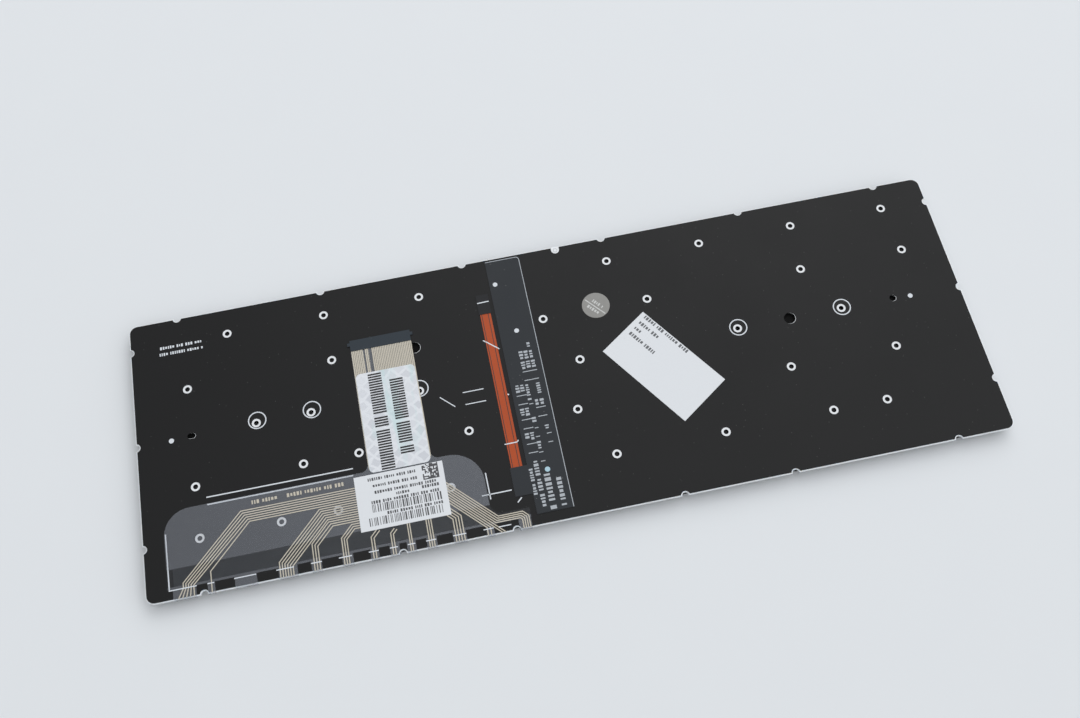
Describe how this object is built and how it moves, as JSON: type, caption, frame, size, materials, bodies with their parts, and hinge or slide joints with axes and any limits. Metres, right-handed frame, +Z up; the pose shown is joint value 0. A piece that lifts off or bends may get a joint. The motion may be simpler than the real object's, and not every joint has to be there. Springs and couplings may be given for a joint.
{
  "type": "laptop replacement keyboard",
  "caption": "Thin backlit laptop keyboard lying keys down: black back film with ringed holes, folded membrane flap and tail, backlight strip and labels; sprung keys.",
  "frame": {"origin": "middle of the keyboard on the plane of the key tops that it lies on", "axes": "+X across the keyboard towards its Tab side, +Y towards the function row, +Z up out of the back"},
  "size_m": [0.295, 0.1018, 0.0053],
  "materials": {
    "keycap": "fine matte texture",
    "dome": "milky silicone",
    "circuit_film": "clear polyester film",
    "plate_metal": "stamped sheet, black anodised",
    "light_guide": "clear sheet with white edge",
    "white_film": "white polyester",
    "black_film": "satin black polyester",
    "flex_orange": "polyimide",
    "flex_grey": "satin coverlay",
    "led": "moulded package",
    "stiffener_black": "satin",
    "stiffener_blue": "satin",
    "adhesive": "pressure-sensitive strip",
    "foil": "metallised film",
    "label_paper": "satin paper",
    "sticker_grey": "grey paper"
  },
  "bodies": {
    "chassis": {"base_plate": "plate_metal", "membrane": "circuit_film", "light_guide": "light_guide", "reflector_film": "white_film", "back_film": "black_film", "backlight_flex": "flex_orange", "backlight_coverlay": "flex_grey", "backlight_tail_stiffener": "stiffener_black", "backlight_leds": "led", "flap_adhesive": "adhesive", "membrane_tail_stiffener": "stiffener_blue", "foil_label": "foil", "part_label": "label_paper", "price_label": "label_paper", "round_sticker": "sticker_grey", "rubber_domes": "dome", "function_and_number_keys": "keycap", "side_column_keys": "keycap", "left_modifier_keys": "keycap", "right_modifier_keys": "keycap"},
    "cap_tab": {"key_tab": "keycap"},
    "cap_q": {"key_q": "keycap"},
    "cap_w": {"key_w": "keycap"},
    "cap_e": {"key_e": "keycap"},
    "cap_r": {"key_r": "keycap"},
    "cap_t": {"key_t": "keycap"},
    "cap_y": {"key_y": "keycap"},
    "cap_u": {"key_u": "keycap"},
    "cap_i": {"key_i": "keycap"},
    "cap_o": {"key_o": "keycap"},
    "cap_p": {"key_p": "keycap"},
    "cap_left_bracket": {"key_left_bracket": "keycap"},
    "cap_right_bracket": {"key_right_bracket": "keycap"},
    "cap_backslash": {"key_backslash": "keycap"},
    "cap_caps_lock": {"key_caps_lock": "keycap"},
    "cap_a": {"key_a": "keycap"},
    "cap_s": {"key_s": "keycap"},
    "cap_d": {"key_d": "keycap"},
    "cap_f": {"key_f": "keycap"},
    "cap_g": {"key_g": "keycap"},
    "cap_h": {"key_h": "keycap"},
    "cap_j": {"key_j": "keycap"},
    "cap_k": {"key_k": "keycap"},
    "cap_l": {"key_l": "keycap"},
    "cap_semicolon": {"key_semicolon": "keycap"},
    "cap_apostrophe": {"key_apostrophe": "keycap"},
    "cap_enter": {"key_enter": "keycap"},
    "cap_left_shift": {"key_left_shift": "keycap"},
    "cap_z": {"key_z": "keycap"},
    "cap_x": {"key_x": "keycap"},
    "cap_c": {"key_c": "keycap"},
    "cap_v": {"key_v": "keycap"},
    "cap_b": {"key_b": "keycap"},
    "cap_n": {"key_n": "keycap"},
    "cap_m": {"key_m": "keycap"},
    "cap_comma": {"key_comma": "keycap"},
    "cap_period": {"key_period": "keycap"},
    "cap_slash": {"key_slash": "keycap"},
    "cap_right_shift": {"key_right_shift": "keycap"},
    "cap_space": {"key_space": "keycap"}
  },
  "joints": [
    {"name": "press_tab", "type": "slide", "parent": "chassis", "child": "cap_tab", "axis": [0, 0, 1], "range_m": [0, 0.0013], "stiffness_N_per_m": 420, "deforming": ["rubber_domes"]},
    {"name": "press_q", "type": "slide", "parent": "chassis", "child": "cap_q", "axis": [0, 0, 1], "range_m": [0, 0.0013], "stiffness_N_per_m": 420, "deforming": ["rubber_domes"]},
    {"name": "press_w", "type": "slide", "parent": "chassis", "child": "cap_w", "axis": [0, 0, 1], "range_m": [0, 0.0013], "stiffness_N_per_m": 420, "deforming": ["rubber_domes"]},
    {"name": "press_e", "type": "slide", "parent": "chassis", "child": "cap_e", "axis": [0, 0, 1], "range_m": [0, 0.0013], "stiffness_N_per_m": 420, "deforming": ["rubber_domes"]},
    {"name": "press_r", "type": "slide", "parent": "chassis", "child": "cap_r", "axis": [0, 0, 1], "range_m": [0, 0.0013], "stiffness_N_per_m": 420, "deforming": ["rubber_domes"]},
    {"name": "press_t", "type": "slide", "parent": "chassis", "child": "cap_t", "axis": [0, 0, 1], "range_m": [0, 0.0013], "stiffness_N_per_m": 420, "deforming": ["rubber_domes"]},
    {"name": "press_y", "type": "slide", "parent": "chassis", "child": "cap_y", "axis": [0, 0, 1], "range_m": [0, 0.0013], "stiffness_N_per_m": 420, "deforming": ["rubber_domes"]},
    {"name": "press_u", "type": "slide", "parent": "chassis", "child": "cap_u", "axis": [0, 0, 1], "range_m": [0, 0.0013], "stiffness_N_per_m": 420, "deforming": ["rubber_domes"]},
    {"name": "press_i", "type": "slide", "parent": "chassis", "child": "cap_i", "axis": [0, 0, 1], "range_m": [0, 0.0013], "stiffness_N_per_m": 420, "deforming": ["rubber_domes"]},
    {"name": "press_o", "type": "slide", "parent": "chassis", "child": "cap_o", "axis": [0, 0, 1], "range_m": [0, 0.0013], "stiffness_N_per_m": 420, "deforming": ["rubber_domes"]},
    {"name": "press_p", "type": "slide", "parent": "chassis", "child": "cap_p", "axis": [0, 0, 1], "range_m": [0, 0.0013], "stiffness_N_per_m": 420, "deforming": ["rubber_domes"]},
    {"name": "press_left_bracket", "type": "slide", "parent": "chassis", "child": "cap_left_bracket", "axis": [0, 0, 1], "range_m": [0, 0.0013], "stiffness_N_per_m": 420, "deforming": ["rubber_domes"]},
    {"name": "press_right_bracket", "type": "slide", "parent": "chassis", "child": "cap_right_bracket", "axis": [0, 0, 1], "range_m": [0, 0.0013], "stiffness_N_per_m": 420, "deforming": ["rubber_domes"]},
    {"name": "press_backslash", "type": "slide", "parent": "chassis", "child": "cap_backslash", "axis": [0, 0, 1], "range_m": [0, 0.0013], "stiffness_N_per_m": 420, "deforming": ["rubber_domes"]},
    {"name": "press_caps_lock", "type": "slide", "parent": "chassis", "child": "cap_caps_lock", "axis": [0, 0, 1], "range_m": [0, 0.0013], "stiffness_N_per_m": 420, "deforming": ["rubber_domes"]},
    {"name": "press_a", "type": "slide", "parent": "chassis", "child": "cap_a", "axis": [0, 0, 1], "range_m": [0, 0.0013], "stiffness_N_per_m": 420, "deforming": ["rubber_domes"]},
    {"name": "press_s", "type": "slide", "parent": "chassis", "child": "cap_s", "axis": [0, 0, 1], "range_m": [0, 0.0013], "stiffness_N_per_m": 420, "deforming": ["rubber_domes"]},
    {"name": "press_d", "type": "slide", "parent": "chassis", "child": "cap_d", "axis": [0, 0, 1], "range_m": [0, 0.0013], "stiffness_N_per_m": 420, "deforming": ["rubber_domes"]},
    {"name": "press_f", "type": "slide", "parent": "chassis", "child": "cap_f", "axis": [0, 0, 1], "range_m": [0, 0.0013], "stiffness_N_per_m": 420, "deforming": ["rubber_domes"]},
    {"name": "press_g", "type": "slide", "parent": "chassis", "child": "cap_g", "axis": [0, 0, 1], "range_m": [0, 0.0013], "stiffness_N_per_m": 420, "deforming": ["rubber_domes"]},
    {"name": "press_h", "type": "slide", "parent": "chassis", "child": "cap_h", "axis": [0, 0, 1], "range_m": [0, 0.0013], "stiffness_N_per_m": 420, "deforming": ["rubber_domes"]},
    {"name": "press_j", "type": "slide", "parent": "chassis", "child": "cap_j", "axis": [0, 0, 1], "range_m": [0, 0.0013], "stiffness_N_per_m": 420, "deforming": ["rubber_domes"]},
    {"name": "press_k", "type": "slide", "parent": "chassis", "child": "cap_k", "axis": [0, 0, 1], "range_m": [0, 0.0013], "stiffness_N_per_m": 420, "deforming": ["rubber_domes"]},
    {"name": "press_l", "type": "slide", "parent": "chassis", "child": "cap_l", "axis": [0, 0, 1], "range_m": [0, 0.0013], "stiffness_N_per_m": 420, "deforming": ["rubber_domes"]},
    {"name": "press_semicolon", "type": "slide", "parent": "chassis", "child": "cap_semicolon", "axis": [0, 0, 1], "range_m": [0, 0.0013], "stiffness_N_per_m": 420, "deforming": ["rubber_domes"]},
    {"name": "press_apostrophe", "type": "slide", "parent": "chassis", "child": "cap_apostrophe", "axis": [0, 0, 1], "range_m": [0, 0.0013], "stiffness_N_per_m": 420, "deforming": ["rubber_domes"]},
    {"name": "press_enter", "type": "slide", "parent": "chassis", "child": "cap_enter", "axis": [0, 0, 1], "range_m": [0, 0.0013], "stiffness_N_per_m": 420, "deforming": ["rubber_domes"]},
    {"name": "press_left_shift", "type": "slide", "parent": "chassis", "child": "cap_left_shift", "axis": [0, 0, 1], "range_m": [0, 0.0013], "stiffness_N_per_m": 420, "deforming": ["rubber_domes"]},
    {"name": "press_z", "type": "slide", "parent": "chassis", "child": "cap_z", "axis": [0, 0, 1], "range_m": [0, 0.0013], "stiffness_N_per_m": 420, "deforming": ["rubber_domes"]},
    {"name": "press_x", "type": "slide", "parent": "chassis", "child": "cap_x", "axis": [0, 0, 1], "range_m": [0, 0.0013], "stiffness_N_per_m": 420, "deforming": ["rubber_domes"]},
    {"name": "press_c", "type": "slide", "parent": "chassis", "child": "cap_c", "axis": [0, 0, 1], "range_m": [0, 0.0013], "stiffness_N_per_m": 420, "deforming": ["rubber_domes"]},
    {"name": "press_v", "type": "slide", "parent": "chassis", "child": "cap_v", "axis": [0, 0, 1], "range_m": [0, 0.0013], "stiffness_N_per_m": 420, "deforming": ["rubber_domes"]},
    {"name": "press_b", "type": "slide", "parent": "chassis", "child": "cap_b", "axis": [0, 0, 1], "range_m": [0, 0.0013], "stiffness_N_per_m": 420, "deforming": ["rubber_domes"]},
    {"name": "press_n", "type": "slide", "parent": "chassis", "child": "cap_n", "axis": [0, 0, 1], "range_m": [0, 0.0013], "stiffness_N_per_m": 420, "deforming": ["rubber_domes"]},
    {"name": "press_m", "type": "slide", "parent": "chassis", "child": "cap_m", "axis": [0, 0, 1], "range_m": [0, 0.0013], "stiffness_N_per_m": 420, "deforming": ["rubber_domes"]},
    {"name": "press_comma", "type": "slide", "parent": "chassis", "child": "cap_comma", "axis": [0, 0, 1], "range_m": [0, 0.0013], "stiffness_N_per_m": 420, "deforming": ["rubber_domes"]},
    {"name": "press_period", "type": "slide", "parent": "chassis", "child": "cap_period", "axis": [0, 0, 1], "range_m": [0, 0.0013], "stiffness_N_per_m": 420, "deforming": ["rubber_domes"]},
    {"name": "press_slash", "type": "slide", "parent": "chassis", "child": "cap_slash", "axis": [0, 0, 1], "range_m": [0, 0.0013], "stiffness_N_per_m": 420, "deforming": ["rubber_domes"]},
    {"name": "press_right_shift", "type": "slide", "parent": "chassis", "child": "cap_right_shift", "axis": [0, 0, 1], "range_m": [0, 0.0013], "stiffness_N_per_m": 420, "deforming": ["rubber_domes"]},
    {"name": "press_space", "type": "slide", "parent": "chassis", "child": "cap_space", "axis": [0, 0, 1], "range_m": [0, 0.0013], "stiffness_N_per_m": 420, "deforming": ["rubber_domes"]}
  ]
}
